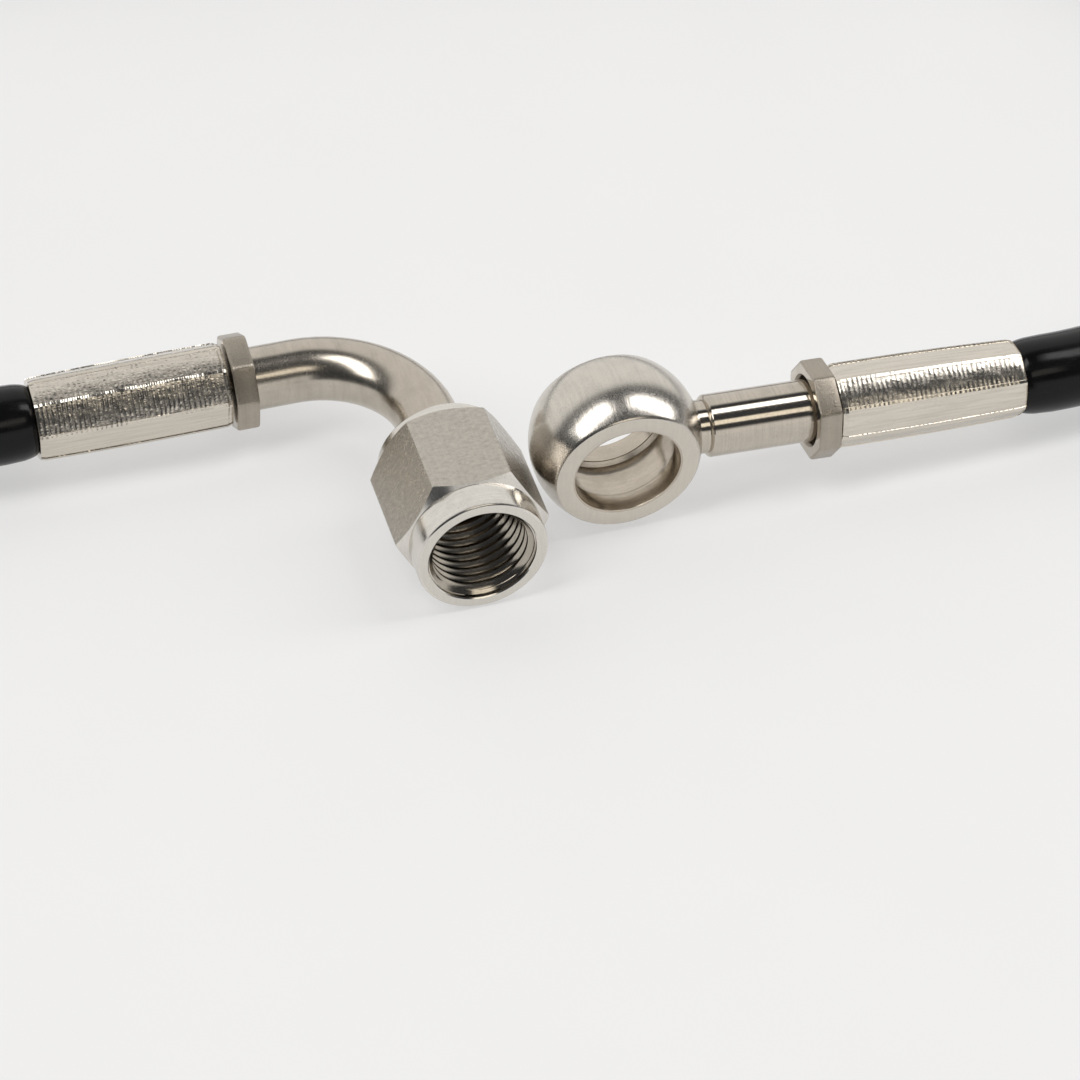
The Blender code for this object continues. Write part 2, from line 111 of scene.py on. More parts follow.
# %% The hose's middle line
HOSE_POINTS_MM = (
    (-60.4, 14.1, 6.0),
    (-68.5, 18.6, 5.0),
    (-74.8, 25.5, 4.2),
    (-78.5, 34.4, 3.85),
    (-79.4, 46.2, 3.8),
    (-79.2, 59.0, 3.8),
    (-78.2, 70.5, 3.8),
    (-75.6, 79.7, 3.8),
    (-70.6, 87.6, 3.8),
    (-63.4, 93.5, 3.8),
    (-54.7, 97.0, 3.8),
    (-45.2, 98.4, 3.8),
    (-35.2, 98.2, 3.8),
    (-22.0, 96.0, 3.8),
    (-5.0, 92.3, 3.8),
    (12.0, 88.4, 3.8),
    (30.0, 84.4, 3.8),
    (46.6, 80.8, 3.8),
    (60.7, 77.6, 3.8),
    (70.9, 74.5, 3.8),
    (79.1, 69.5, 3.8),
    (85.4, 61.3, 3.8),
    (88.8, 50.2, 3.8),
    (89.7, 38.3, 3.8),
    (88.4, 28.3, 3.8),
    (85.6, 19.4, 3.8),
    (81.4, 11.1, 3.85),
    (75.7, 3.9, 4.1),
    (68.5, -1.9, 4.6),
    (60.2, -5.8, 5.3),
)
MOUTH = 21.0
STRAIGHT_OUT = 2.0
NEXT_GUIDE = 5.7
RING_GAP = 1.2 * MM


def on_axis(end, height_mm):
    """The place on a fitting's axis at a height above its collar's front."""
    return np.array(end @ Vector((0.0, 0.0, height_mm * MM)))


def spring_line(points, spacing):
    """Evenly spaced places on a uniform cubic spline that starts and ends on the first and last point."""
    given = [2.0 * points[0] - points[1], *points, 2.0 * points[-1] - points[-2]]
    fine = []
    for i in range(len(given) - 3):
        for t in np.linspace(0.0, 1.0, 40, endpoint=False):
            weights = ((1 - t) ** 3, 3 * t**3 - 6 * t**2 + 4, -3 * t**3 + 3 * t**2 + 3 * t + 1, t**3)
            fine.append(sum(weight * point for weight, point in zip(weights, given[i : i + 4])) / 6.0)
    fine.append(points[-1])
    fine = np.array(fine)
    run = np.concatenate(([0.0], np.cumsum(np.linalg.norm(np.diff(fine, axis=0), axis=1))))
    stations = np.linspace(0.0, run[-1], round(run[-1] / spacing) + 1)
    return np.column_stack([np.interp(stations, run, fine[:, k]) for k in range(3)]), run[-1]


free_points = [
    on_axis(elbow_end, MOUTH + STRAIGHT_OUT),
    on_axis(elbow_end, MOUTH + NEXT_GUIDE),
    *(np.array(point) * MM for point in HOSE_POINTS_MM),
    on_axis(banjo_end, MOUTH + NEXT_GUIDE),
    on_axis(banjo_end, MOUTH + STRAIGHT_OUT),
]
free_line, free_length = spring_line(free_points, RING_GAP)
inside_heights = [4.3, 8.0, 12.0, 16.0, 19.5, 20.4, 20.7, 21.0, 21.3, 21.6, 22.0, 22.5]
middle_line = np.array(
    [on_axis(elbow_end, height) for height in inside_heights]
    + list(free_line[1:-1])
    + [on_axis(banjo_end, height) for height in reversed(inside_heights)]
)
print("free hose", round(free_length + 2.0 * STRAIGHT_OUT * MM, 4), "m between the two mouths")

# %% [markdown]
# The hose has three layers: a glossy black cover, a woven steel braid and a white liner. Each is a tube with
# its own wall, squeezed thinner where a ferrule grips it. A tube is rings of points on the middle line, joined
# by faces, and each face keeps how far along and how far round it lies, so that a weave can follow the bend.

# %% A tube along the middle line
HOSE_R = 3.75
run = np.concatenate(([0.0], np.cumsum(np.linalg.norm(np.diff(middle_line, axis=0), axis=1)))) / MM
depth_in = np.minimum(run, run[-1] - run) - (MOUTH - inside_heights[0])


def layer_radius(free, crimped, at_mouth):
    """Radius at each ring: squeezed in the ferrule, swelling out of its mouth and then free."""
    heights = [-30.0, -0.5, 0.35, 0.9, 1.8, 3.0, 400.0]
    radii = [crimped, crimped, at_mouth - 0.06, at_mouth + 0.08, free - 0.03, free, free]
    return np.interp(depth_in, heights, radii)


def tube(name, outer, inner, around):
    """A closed tube wall with a UV map of distance along and distance round, in millimetres."""
    ways = np.gradient(middle_line, axis=0)
    ways /= np.linalg.norm(ways, axis=1)[:, None]
    side = np.cross(ways, (0.0, 0.0, 1.0))
    side /= np.linalg.norm(side, axis=1)[:, None]
    top = np.cross(side, ways)
    angles = np.linspace(0.0, math.tau, around, endpoint=False)
    ring = np.cos(angles)[None, :, None] * side[:, None, :] + np.sin(angles)[None, :, None] * top[:, None, :]
    outside = middle_line[:, None, :] + ring * outer[:, None, None] * MM
    inside = middle_line[:, None, :] + ring * inner[:, None, None] * MM
    count = len(middle_line)
    places = np.concatenate((outside.reshape(-1, 3), inside.reshape(-1, 3)))
    faces = []
    marks = []
    for wall in (0, 1):
        base = wall * count * around
        for i in range(count - 1):
            for k in range(around):
                corners = [(i, k), (i, k + 1), (i + 1, k + 1), (i + 1, k)]
                if wall:
                    corners.reverse()
                faces.append([base + a * around + b % around for a, b in corners])
                marks.append([(run[a], b) for a, b in corners])
    last = count - 1
    for i, order in ((0, 1), (last, -1)):
        for k in range(around):
            corners = [(0, k), (1, k), (1, k + 1), (0, k + 1)][::order]
            faces.append([wall * count * around + i * around + b % around for wall, b in corners])
            marks.append([(run[i], b) for _, b in corners])
    mesh = bpy.data.meshes.new(name)
    mesh.from_pydata(places.tolist(), [], faces)
    uv = mesh.uv_layers.new(name="along_and_round")
    spread_out = [(along, b * math.tau * HOSE_R / around) for face in marks for along, b in face]
    uv.data.foreach_set("uv", np.array(spread_out, np.float32).ravel())
    piece = bpy.data.objects.new(name, mesh)
    bpy.context.scene.collection.objects.link(piece)
    bpy.ops.object.select_all(action="DESELECT")
    piece.select_set(True)
    bpy.context.view_layer.objects.active = piece
    bpy.ops.object.mode_set(mode="EDIT")
    bpy.ops.mesh.select_all(action="SELECT")
    bpy.ops.mesh.normals_make_consistent(inside=False)
    bpy.ops.object.mode_set(mode="OBJECT")
    bpy.ops.object.shade_smooth_by_angle(angle=math.radians(40))
    return piece


hose_skin = tube("hose_skin", layer_radius(HOSE_R, 2.84, 3.5), layer_radius(3.2, 2.5, 2.95), 48)
hose_weave = tube("hose_weave", layer_radius(2.92, 2.22, 2.67), layer_radius(2.55, 2.0, 2.3), 28)
hose_core = tube("hose_core", layer_radius(2.27, 1.72, 2.02), layer_radius(1.6, 1.46, 1.35), 24)
print("hose skin", len(hose_skin.data.polygons), "faces")

# %% [markdown]
# Most of the metal is turned on a lathe, so most pieces start as a section line that is spun round Z. The
# line is pulled out of one point by extruding it again and again, as by hand, then spun, and its seam merged.

# %% Turning a section on the lathe
MERGE = 0.002


def only(piece):
    """Select one piece and make it the active one."""
    bpy.ops.object.select_all(action="DESELECT")
    piece.select_set(True)
    bpy.context.view_layer.objects.active = piece


def section_line(name, points):
    """Pull a line through (radius, height) points out of one point, and stay in edit mode."""
    bpy.ops.object.select_all(action="DESELECT")
    bpy.ops.mesh.primitive_plane_add(size=1.0, location=(0.0, 0.0, 0.0))
    piece = bpy.context.active_object
    piece.name = name
    bpy.ops.object.mode_set(mode="EDIT")
    bpy.ops.mesh.select_mode(type="VERT")
    bpy.ops.mesh.select_all(action="SELECT")
    bpy.ops.mesh.merge(type="CENTER")
    bpy.ops.transform.translate(value=(points[0][0], 0.0, points[0][1]))
    for start, end in zip(points, points[1:]):
        step = (end[0] - start[0], 0.0, end[1] - start[1])
        bpy.ops.mesh.extrude_region_move(TRANSFORM_OT_translate={"value": step})
    return piece


def turned(name, section, steps, closed=False):
    """Spin a section line about Z into a solid."""
    piece = section_line(name, [*section, section[0]] if closed else section)
    bpy.ops.mesh.select_all(action="SELECT")
    bpy.ops.mesh.spin(steps=steps, angle=math.tau, center=(0.0, 0.0, 0.0), axis=(0.0, 0.0, 1.0))
    bpy.ops.mesh.select_all(action="SELECT")
    bpy.ops.mesh.remove_doubles(threshold=MERGE)
    bpy.ops.mesh.normals_make_consistent(inside=False)
    bpy.ops.object.mode_set(mode="OBJECT")
    return piece


def drill(radius, low, high, matrix, steps=64):
    """A round cutter about local Z, already set down."""
    cutter = turned("drill", [(0.0, high), (radius, high), (radius, low), (0.0, low)], steps)
    return set_down(cutter, matrix)


def carve(piece, tool, way):
    """Join, cut or keep the common part of two solids, and drop the tool."""
    only(piece)
    cut = piece.modifiers.new("Carve", "BOOLEAN")
    cut.operation = way
    cut.solver = "EXACT"
    cut.object = tool
    bpy.ops.object.modifier_apply(modifier=cut.name)
    bpy.data.objects.remove(tool, do_unlink=True)
    return piece


def smooth(piece, degrees=28.0):
    """Shade a piece smooth, except over edges that turn by more than the angle."""
    only(piece)
    bpy.ops.object.shade_smooth_by_angle(angle=math.radians(degrees))
    print(piece.name, len(piece.data.polygons), "faces")
    return piece


def pick_edges(piece, wanted):
    """Select the edges for which wanted holds for the heights of their two ends, and stay in edit mode."""
    only(piece)
    bpy.ops.object.mode_set(mode="EDIT")
    bpy.ops.mesh.select_mode(type="EDGE")
    bpy.ops.mesh.select_all(action="DESELECT")
    bpy.ops.object.mode_set(mode="OBJECT")
    for edge in piece.data.edges:
        edge.select = wanted(*(piece.data.vertices[i].co.z for i in edge.vertices))
    bpy.ops.object.mode_set(mode="EDIT")


def own_place(piece):
    """Move an object's place into its mesh."""
    piece.data.transform(piece.matrix_basis)
    piece.matrix_basis = Matrix.Identity(4)
    return piece


# %% [markdown]
# The banjo eye is a ball that was turned on the neck's axis, then milled flat on both sides and bored for the
# hollow bolt. The fluid ring in the bore is a shallow groove between two lands. The section of the wall is
# drawn once and spun round the bore, which gives ball, seats, chamfers and groove in one closed solid.

# %% Banjo eye
BALL_R = 8.12
SEAT = 4.28
BORE_R = 5.05


def rounded(centre, radius, first, last, count):
    """Points on an arc, angles in degrees."""
    turns = np.radians(np.linspace(first, last, count))
    return [(centre[0] + radius * math.cos(t), centre[1] + radius * math.sin(t)) for t in turns]


rim = math.degrees(math.asin(SEAT / BALL_R))
ball_arc = rounded((0.0, 0.0), BALL_R, rim - 0.8, -rim + 0.8, 41)
rim_r = math.sqrt(BALL_R**2 - SEAT**2)
front_rim = [(rim_r - 0.12, SEAT), (rim_r - 0.03, SEAT - 0.02)]
bore_side = [
    (BORE_R + 0.24, SEAT),
    (BORE_R + 0.06, SEAT - 0.08),
    (BORE_R, SEAT - 0.24),
    (BORE_R, 2.28),
    (BORE_R + 0.05, 2.2),
    (BORE_R + 0.5, 1.95),
    (BORE_R + 0.68, 1.6),
    (BORE_R + 0.74, 1.0),
]
bore_line = bore_side + [(BORE_R + 0.75, 0.0)] + [(r, -z) for r, z in reversed(bore_side)]
section = front_rim + ball_arc + [(r, -z) for r, z in reversed(front_rim)] + list(reversed(bore_line))
banjo_body = set_down(turned("banjo_body", section, 160, closed=True), eye_stand)

# %% [markdown]
# The neck grows out of the ball as a thin stub, steps out over a small chamfer and runs straight to the
# eight-sided collar, which has a round dish in its front face. Turned with a fine tool, it keeps a soft lengthwise
# gleam. The barbed tail behind the collar is inside the hose, where it holds the liner.

# %% Neck, collar and tail
COLLAR_LENGTH = 2.2
COLLAR_CORNER_R = 4.82
DISH_GAP = 0.33
NECK_R = 2.97


def tail_section(foot):
    """Outer side of the barbed tail from its tip down."""
    tip = COLLAR_LENGTH + 16.4
    points = [(0.0, tip), (1.05, tip)]
    for i in range(6):
        top = tip - i * 2.2
        points += [(1.2, top - 1.1), (1.2, top - 1.54), (1.05, top - 2.2)]
    return points + foot


def collar(name, dish_r):
    """An eight-sided collar with softened edges and a dish round the neck."""
    bpy.ops.object.select_all(action="DESELECT")
    bpy.ops.mesh.primitive_cylinder_add(
        vertices=8, radius=COLLAR_CORNER_R, depth=COLLAR_LENGTH, location=(0.0, 0.0, 0.5 * COLLAR_LENGTH),
    )
    piece = own_place(bpy.context.active_object)
    piece.name = name
    pick_edges(piece, lambda a, b: abs(a - b) > 1.0)
    bpy.ops.mesh.bevel(offset=0.32, offset_type="OFFSET", segments=3)
    bpy.ops.object.mode_set(mode="OBJECT")
    pick_edges(piece, lambda a, b: abs(a - b) < 0.01)
    bpy.ops.mesh.bevel(offset=0.24, offset_type="OFFSET", segments=3)
    bpy.ops.object.mode_set(mode="OBJECT")
    dish = turned("dish", [
        (0.0, 1.2), (dish_r - 0.1, 1.2), (dish_r, 1.05), (dish_r + 0.02, 0.3), (dish_r + 0.22, -0.02),
        (dish_r + 0.3, -0.5), (0.0, -0.5),
    ], 64)
    return carve(piece, dish, "DIFFERENCE")


banjo_collar = set_down(collar("banjo_collar", NECK_R + DISH_GAP), banjo_end)
neck_section = tail_section([
    (1.05, 1.7), (NECK_R, 1.7), (NECK_R, -9.8), (2.9, -9.93), (2.72, -10.07), (2.66, -10.1), (2.55, -10.1),
    (2.55, -12.6), (0.0, -12.6),
])
neck = set_down(turned("banjo_neck", neck_section, 96), banjo_end)
carve(banjo_body, neck, "UNION")
carve(banjo_body, banjo_collar, "UNION")
carve(banjo_body, drill(1.1, 5.0 - EYE_TO_COLLAR, 0.0, banjo_end, 32), "DIFFERENCE")
smooth(banjo_body)

# %% [markdown]
# The other fitting is a steel tube bent through a right angle. A round face is drawn out straight, spun a
# quarter turn about the middle of the bend and drawn out again into the nut, where a cone seals against its seat.

# %% Bent tube with its collar and cone
TUBE_R = 3.05
BEND_R = 10.5
TO_COLLAR = 5.9
INTO_NUT = 7.2
bend_centre = (-20.3457, 2.112, 6.35)
bend_stand = stand(bend_centre, (0.0, 0.0, 1.0), (1.0, 0.0, 0.0))
bpy.ops.object.select_all(action="DESELECT")
bpy.ops.mesh.primitive_circle_add(
    vertices=72, radius=TUBE_R, fill_type="NGON",
    location=(-TO_COLLAR, BEND_R, 0.0), rotation=(0.0, math.pi / 2, 0.0),
)
elbow_body = own_place(bpy.context.active_object)
elbow_body.name = "elbow_body"
only(elbow_body)
bpy.ops.object.mode_set(mode="EDIT")
bpy.ops.mesh.select_mode(type="FACE")
bpy.ops.mesh.select_all(action="SELECT")
bpy.ops.mesh.extrude_region_move(TRANSFORM_OT_translate={"value": (TO_COLLAR, 0.0, 0.0)})
bpy.ops.mesh.spin(steps=40, angle=math.pi / 2, center=(0.0, 0.0, 0.0), axis=(0.0, 0.0, 1.0))
bpy.ops.mesh.extrude_region_move(TRANSFORM_OT_translate={"value": (0.0, -INTO_NUT, 0.0)})
bpy.ops.mesh.select_all(action="SELECT")
bpy.ops.mesh.remove_doubles(threshold=MERGE)
bpy.ops.mesh.normals_make_consistent(inside=False)
bpy.ops.object.mode_set(mode="OBJECT")
tube_low = [min(v.co[i] for v in elbow_body.data.vertices) for i in range(3)]
tube_high = [max(v.co[i] for v in elbow_body.data.vertices) for i in range(3)]
print("bent tube from", [round(v, 2) for v in tube_low], "to", [round(v, 2) for v in tube_high], "mm")
set_down(elbow_body, bend_stand)
carve(elbow_body, set_down(collar("elbow_collar", TUBE_R + DISH_GAP), elbow_end), "UNION")
tail = set_down(turned("elbow_tail", tail_section([(1.05, 1.7), (0.0, 1.7)]), 40), elbow_end)
carve(elbow_body, tail, "UNION")
cone = turned("cone", [
    (0.0, 11.8), (4.0, 11.8), (4.1, 11.7), (4.1, 11.02), (4.02, 10.85),
    (2.0, 8.1), (1.9, 8.02), (1.78, 8.0), (0.0, 8.0),
], 72)
carve(elbow_body, set_down(cone, nut_stand), "UNION")
carve(elbow_body, drill(1.5, 5.0, 16.0, nut_stand, 40), "DIFFERENCE")
smooth(elbow_body)

# %% [markdown]
# A crimp press closes eight dies on the ferrule. Each die leaves a long flat, and between two dies a narrow
# ridge of metal is squeezed up. The ferrule starts as an eight-sided bar: its long edges are bevelled into the
# ridges, its flats are sunk a little, and it is then cut across and lengthwise many times, so that it can swell
# and taper and so that each flat can bow out a little, as the steel does when the die lets go.

# %% Crimped ferrules
FERRULE_LOW = 2.5
FERRULE_HIGH = 21.0
FLAT_MIDDLES = (22.5, 67.5, 112.5, 157.5)
TO_CORNER = 1.0 / math.cos(math.pi / 8)


def select_faces(piece, wanted):
    """Select the faces for which wanted(centre, normal) holds, in face mode."""
    only(piece)
    bpy.ops.object.mode_set(mode="EDIT")
    bpy.ops.mesh.select_mode(type="FACE")
    bpy.ops.mesh.select_all(action="DESELECT")
    bpy.ops.object.mode_set(mode="OBJECT")
    for face in piece.data.polygons:
        face.select = bool(wanted(face.center, face.normal))
    bpy.ops.object.mode_set(mode="EDIT")


def is_flat(normal):
    """True for a face that looks squarely between two ridges."""
    return abs(math.degrees(math.atan2(normal.y, normal.x)) % 45.0 - 22.5) < 1.0


def press_round(piece, at_collar, at_mouth, barrel, swell):
    """Give each point its real radius: tapered, a little barrel-shaped, rounded at both ends and bowed on the flats."""
    length = FERRULE_HIGH - FERRULE_LOW
    for vertex in piece.data.vertices:
        off_middle = abs(math.degrees(math.atan2(vertex.co.y, vertex.co.x)) % 45.0 - 22.5)
        bow = 1.0 + swell * max(0.0, 1.0 - (off_middle / 17.0) ** 2)
        vertex.co.x *= bow
        vertex.co.y *= bow
        share = (FERRULE_HIGH - vertex.co.z) / length
        flat = at_mouth + (at_collar - at_mouth) * share + barrel * 4.0 * share * (1.0 - share)
        rounding_low = 0.16 * max(0.0, 1.0 - (vertex.co.z - FERRULE_LOW) / 0.3)
        rounding_high = 0.1 * max(0.0, 1.0 - (FERRULE_HIGH - vertex.co.z) / 0.25)
        flat -= rounding_low + rounding_high
        vertex.co.x *= flat
        vertex.co.y *= flat


def ferrule(name, at_collar, at_mouth, barrel, swell, end):
    length = FERRULE_HIGH - FERRULE_LOW
    bpy.ops.object.select_all(action="DESELECT")
    bpy.ops.mesh.primitive_cylinder_add(
        vertices=8, radius=TO_CORNER, depth=length, location=(0.0, 0.0, 0.5 * (FERRULE_LOW + FERRULE_HIGH)),
    )
    piece = own_place(bpy.context.active_object)
    piece.name = name
    pick_edges(piece, lambda a, b: abs(a - b) > 1.0)
    bpy.ops.mesh.bevel(offset=0.15, offset_type="WIDTH", segments=2)
    bpy.ops.object.mode_set(mode="OBJECT")
    select_faces(piece, lambda centre, normal: abs(normal.z) < 0.1 and is_flat(normal))
    bpy.ops.mesh.inset(thickness=0.012, depth=-0.022, use_individual=True)
    for height in np.linspace(FERRULE_LOW + 0.5, FERRULE_HIGH - 0.5, 36):
        bpy.ops.mesh.select_all(action="SELECT")
        bpy.ops.mesh.bisect(plane_co=(0.0, 0.0, float(height)), plane_no=(0.0, 0.0, 1.0), threshold=0.0001)
    for flat_middle in FLAT_MIDDLES:
        for offset in (-12.0, -6.0, 0.0, 6.0, 12.0):
            turn = math.radians(flat_middle + offset)
            across = (-math.sin(turn), math.cos(turn), 0.0)
            bpy.ops.mesh.select_all(action="SELECT")
            bpy.ops.mesh.bisect(plane_co=(0.0, 0.0, 5.0), plane_no=across, threshold=0.0001)
    bpy.ops.object.mode_set(mode="OBJECT")
    press_round(piece, at_collar, at_mouth, barrel, swell)
    bore = turned("bore", [
        (0.0, 3.7), (3.14, 3.7), (3.14, 20.75), (3.3, 21.0), (3.3, 22.0), (0.0, 22.0),
    ], 64)
    carve(piece, bore, "DIFFERENCE")
    carve(piece, turned("tail_hole", [(0.0, 5.0), (1.35, 5.0), (1.35, 1.0), (0.0, 1.0)], 32), "DIFFERENCE")
    set_down(piece, end)
    return smooth(piece, 14.0)


banjo_sleeve = ferrule("banjo_sleeve", 3.8, 3.54, 0.1, 0.024, banjo_end)
elbow_sleeve = ferrule("elbow_sleeve", 3.94, 3.84, 0.08, 0.011, elbow_end)

# %% [markdown]
# The swivel nut is cut from hexagon bar. On the lathe its front is turned down to a round nose and its corners
# are chamfered, which leaves the curved edges on the flats. So a hexagon is cut by a turned outline, and a
# socket is bored into it.

# %% Swivel nut body
NUT_LENGTH = 14.7
HALF_FLATS = 6.35
NOSE_R = 6.22
PAST_CORNER = 7.28
bpy.ops.object.select_all(action="DESELECT")
bpy.ops.mesh.primitive_cylinder_add(
    vertices=6, radius=HALF_FLATS / math.cos(math.pi / 6), depth=NUT_LENGTH,
    location=(0.0, 0.0, 0.5 * NUT_LENGTH), rotation=(0.0, 0.0, math.radians(30.0)),
)
nut_body = own_place(bpy.context.active_object)
nut_body.name = "nut_body"
slope = math.tan(math.radians(30.0))
outline = [
    (0.0, NUT_LENGTH), (5.9, NUT_LENGTH), (6.1, 14.62), (6.2, 14.45), (6.25, 13.6),
    (PAST_CORNER, 13.6 - (PAST_CORNER - 6.25) * 1.25 * slope), (PAST_CORNER, 3.0 + (PAST_CORNER - NOSE_R) * slope),
    (NOSE_R, 3.0), (NOSE_R, 0.3), (6.18, 0.14), (6.08, 0.04), (5.98, 0.0), (0.0, 0.0),
]
carve(nut_body, turned("outline", outline, 144), "INTERSECT")
socket = [
    (0.0, 12.1), (5.06, 12.1), (5.06, 0.5), (5.1, 0.3), (5.12, 0.1), (5.22, 0.0), (5.22, -1.0), (0.0, -1.0),
]
carve(nut_body, turned("socket", socket, 128), "DIFFERENCE")
carve(nut_body, turned("tube_hole", [(0.0, 16.0), (3.37, 16.0), (3.37, 5.0), (0.0, 5.0)], 64), "DIFFERENCE")
print("nut", NUT_LENGTH, "mm long and", 2.0 * HALF_FLATS, "mm across its flats")

# %% [markdown]
# Inside the nut is a fine right-hand thread with a pitch of one millimetre. A thread is one tooth drawn along a
# screw line, which the Screw modifier does. It is cut flat at both ends, which closes its walls, and its first
# turn is trimmed by a cone as the lead-in of a real nut is.

# %% Thread
PITCH = 1.0
TURNS = 12
THREAD_LOW = 1.25
THREAD_HIGH = 10.45
THREAD_SHIFT = -0.85
CONE_START = 6.25
RIM_OUT = 1.16
tooth = [
    (4.5, 0.0), (4.48, 0.08), (4.5, 0.17), (4.62, 0.25), (4.97, 0.45),
    (5.02, 0.52), (4.97, 0.59), (4.62, 0.79), (4.52, 0.87), (4.5, 1.0),
]
thread = section_line("nut_thread", tooth)
bpy.ops.object.mode_set(mode="OBJECT")
only(thread)
screw = thread.modifiers.new("Thread", "SCREW")
screw.axis = "Z"
screw.angle = math.tau
screw.screw_offset = PITCH
screw.iterations = TURNS
screw.steps = 72
screw.render_steps = 72
bpy.ops.object.modifier_apply(modifier=screw.name)
bpy.ops.object.mode_set(mode="EDIT")
bpy.ops.mesh.select_all(action="SELECT")
bpy.ops.mesh.remove_doubles(threshold=MERGE)
bpy.ops.mesh.bisect(plane_co=(0.0, 0.0, THREAD_LOW), plane_no=(0.0, 0.0, 1.0), threshold=0.0001, clear_inner=True)
bpy.ops.mesh.select_all(action="SELECT")
bpy.ops.mesh.bisect(plane_co=(0.0, 0.0, THREAD_HIGH), plane_no=(0.0, 0.0, 1.0), threshold=0.0001, clear_outer=True)
bpy.ops.object.mode_set(mode="OBJECT")
for vertex in thread.data.vertices:
    push = (CONE_START - vertex.co.z) / math.hypot(vertex.co.x, vertex.co.y)
    if push > 1.0:
        vertex.co.x *= push
        vertex.co.y *= push
for edge_height in (THREAD_LOW, THREAD_HIGH):
    pick_edges(thread, lambda a, b: abs(a - edge_height) < 0.001 and abs(b - edge_height) < 0.001)
    bpy.ops.mesh.extrude_edges_move(TRANSFORM_OT_translate={"value": (0.0, 0.0, 0.0)})
    bpy.ops.transform.resize(value=(RIM_OUT, RIM_OUT, 1.0), center_override=(0.0, 0.0, edge_height))
    bpy.ops.object.mode_set(mode="OBJECT")
only(thread)
bpy.ops.object.mode_set(mode="EDIT")
bpy.ops.mesh.select_mode(type="EDGE")
bpy.ops.mesh.select_all(action="DESELECT")
bpy.ops.mesh.select_non_manifold()
bpy.ops.mesh.bridge_edge_loops()
bpy.ops.mesh.select_all(action="SELECT")
bpy.ops.mesh.normals_make_consistent(inside=False)
bpy.ops.object.mode_set(mode="OBJECT")
thread.data.transform(Matrix.Translation((0.0, 0.0, THREAD_SHIFT)))
print("thread", len(thread.data.polygons), "faces")
only(nut_body)
thread.select_set(True)
bpy.context.view_layer.objects.active = nut_body
bpy.ops.object.join()
set_down(nut_body, nut_stand)
smooth(nut_body, 26.0)

# %% [markdown]
# Every finish reads the piece's own space: a Mapping node turns the object's coordinates into millimetres along
# the piece's own axis. Lathe marks are then noise that is squeezed along that axis, and grain is finer noise.

# %% Small helpers for the finishes


def new_finish(name):
    """A new material, its node tree and its shader."""
    finish = bpy.data.materials.new(name)
    finish.use_nodes = True
    return finish, finish.node_tree, finish.node_tree.nodes["Principled BSDF"]


def piece_space(tree, matrix):
    """Millimetres along a piece's own axes."""
    coordinates = tree.nodes.new("ShaderNodeTexCoord")
    mapping = tree.nodes.new("ShaderNodeMapping")
    mapping.vector_type = "TEXTURE"
    mapping.inputs["Location"].default_value = matrix.translation
    mapping.inputs["Rotation"].default_value = matrix.to_euler("XYZ")
    mapping.inputs["Scale"].default_value = (MM, MM, MM)
    tree.links.new(coordinates.outputs["Object"], mapping.inputs["Vector"])
    return mapping.outputs["Vector"]


def stretched(tree, vector, x, y, z):
    """The same places, counted faster or slower along each axis."""
    mapping = tree.nodes.new("ShaderNodeMapping")
    mapping.inputs["Scale"].default_value = (x, y, z)
    tree.links.new(vector, mapping.inputs["Vector"])
    return mapping.outputs["Vector"]


def noise(tree, vector, scale, detail=3.0, roughness=0.55, distortion=0.0):
    texture = tree.nodes.new("ShaderNodeTexNoise")
    texture.inputs["Scale"].default_value = scale
    texture.inputs["Detail"].default_value = detail
    texture.inputs["Roughness"].default_value = roughness
    texture.inputs["Distortion"].default_value = distortion
    tree.links.new(vector, texture.inputs["Vector"])
    return texture.outputs["Fac"]


def ramp(tree, value, *stops):
    """A colour ramp from (position, colour or grey) stops."""
    node = tree.nodes.new("ShaderNodeValToRGB")
    while len(node.color_ramp.elements) < len(stops):
        node.color_ramp.elements.new(0.5)
    for element, (position, colour) in zip(node.color_ramp.elements, stops):
        element.position = position
        element.color = (*colour, 1.0) if isinstance(colour, tuple) else (colour, colour, colour, 1.0)
    tree.links.new(value, node.inputs["Fac"])
    return node.outputs["Color"]


def blend_colours(tree, kind, share, first, second):
    """Two colours laid over each other, the second by its share."""
    node = tree.nodes.new("ShaderNodeMix")
    node.data_type = "RGBA"
    node.blend_type = kind
    node.inputs["Factor"].default_value = share
    tree.links.new(first, node.inputs["A"])
    tree.links.new(second, node.inputs["B"])
    return node.outputs["Result"]


def raised(tree, height, depth, under=None):
    """A bump of a given depth in millimetres, on top of another bump."""
    node = tree.nodes.new("ShaderNodeBump")
    node.inputs["Strength"].default_value = 1.0
    node.inputs["Distance"].default_value = depth * MM
    tree.links.new(height, node.inputs["Height"])
    if under is not None:
        tree.links.new(under, node.inputs["Normal"])
    return node.outputs["Normal"]


def shape_range(tree, value, low, high, start, end):
    """A value from low to high, carried over to start to end and held there."""
    node = tree.nodes.new("ShaderNodeMapRange")
    node.inputs["From Min"].default_value = low
    node.inputs["From Max"].default_value = high
    node.inputs["To Min"].default_value = start
    node.inputs["To Max"].default_value = end
    tree.links.new(value, node.inputs["Value"])
    return node.outputs["Result"]


def give(piece, finish):
    piece.data.materials.clear()
    piece.data.materials.append(finish)


def paint(piece, finish, wanted):
    """Give a finish to the faces for which wanted(centre, normal) holds."""
    piece.data.materials.append(finish)
    index = len(piece.data.materials) - 1
    count = 0
    for face in piece.data.polygons:
        if wanted(face.center, face.normal):
            face.material_index = index
            count += 1
    print(finish.name, "on", count, "faces of", piece.name)


# %% [markdown]
# Turned stainless steel is satin, not mirror: the tool leaves fine rings round the lathe's axis, with a few
# deeper ones, and the metal is slightly warm in tone. The rings spread a reflection along the axis, which the
# anisotropy stands for, and the grain breaks it up.

# %% Turned steel


